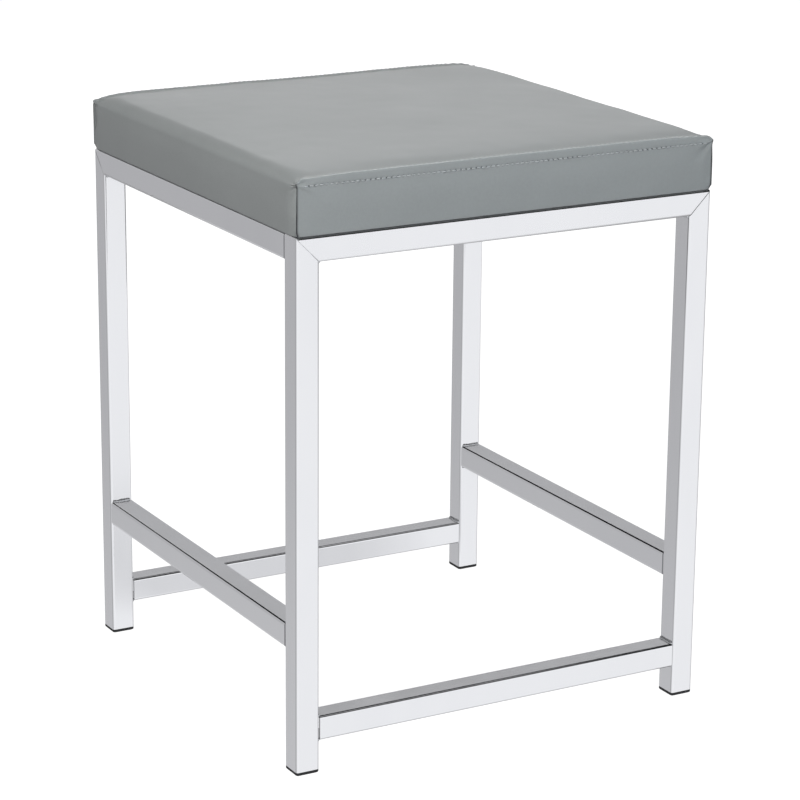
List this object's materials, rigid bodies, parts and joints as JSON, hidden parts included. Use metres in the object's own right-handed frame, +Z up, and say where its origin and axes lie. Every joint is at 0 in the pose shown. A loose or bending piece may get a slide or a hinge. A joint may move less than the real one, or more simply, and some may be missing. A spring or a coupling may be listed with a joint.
{
  "type": "vanity stool",
  "caption": "Square backless stool with a low padded vinyl seat on an open frame of chromed square tube with stretchers, for sitting at a dressing table.",
  "frame": {"origin": "on the floor, under the middle of the square frame", "axes": "+Z up; -Y to the front, whose low stretcher is near the floor; +X to the right of someone who faces +Y"},
  "size_m": [0.357, 0.357, 0.458],
  "materials": {
    "chrome_tube": "polished",
    "chrome_plate": "satin",
    "foot_glide": "matte",
    "fastener": "satin",
    "plywood": "matte",
    "foam": "matte",
    "vinyl": "satin",
    "dust_cloth": "matte"
  },
  "bodies": {
    "root": {"front_left_leg": "chrome_tube", "front_right_leg": "chrome_tube", "back_left_leg": "chrome_tube", "back_right_leg": "chrome_tube", "front_top_rail": "chrome_tube", "back_top_rail": "chrome_tube", "left_top_rail": "chrome_tube", "right_top_rail": "chrome_tube", "front_stretcher": "chrome_tube", "back_stretcher": "chrome_tube", "left_stretcher": "chrome_tube", "right_stretcher": "chrome_tube", "front_left_glide": "foot_glide", "front_right_glide": "foot_glide", "back_left_glide": "foot_glide", "back_right_glide": "foot_glide", "front_left_corner_plate": "chrome_plate", "front_right_corner_plate": "chrome_plate", "back_left_corner_plate": "chrome_plate", "back_right_corner_plate": "chrome_plate", "front_left_seat_bolt": "fastener", "front_right_seat_bolt": "fastener", "back_left_seat_bolt": "fastener", "back_right_seat_bolt": "fastener", "front_left_washer": "fastener", "front_right_washer": "fastener", "back_left_washer": "fastener", "back_right_washer": "fastener", "front_left_t_nut": "fastener", "front_right_t_nut": "fastener", "back_left_t_nut": "fastener", "back_right_t_nut": "fastener", "seat_board": "plywood", "seat_foam": "foam", "seat_cover_main_panel": "vinyl", "seat_cover_front_panel": "vinyl", "seat_cover_back_panel": "vinyl", "dust_cover": "dust_cloth"}
  },
  "joints": []
}
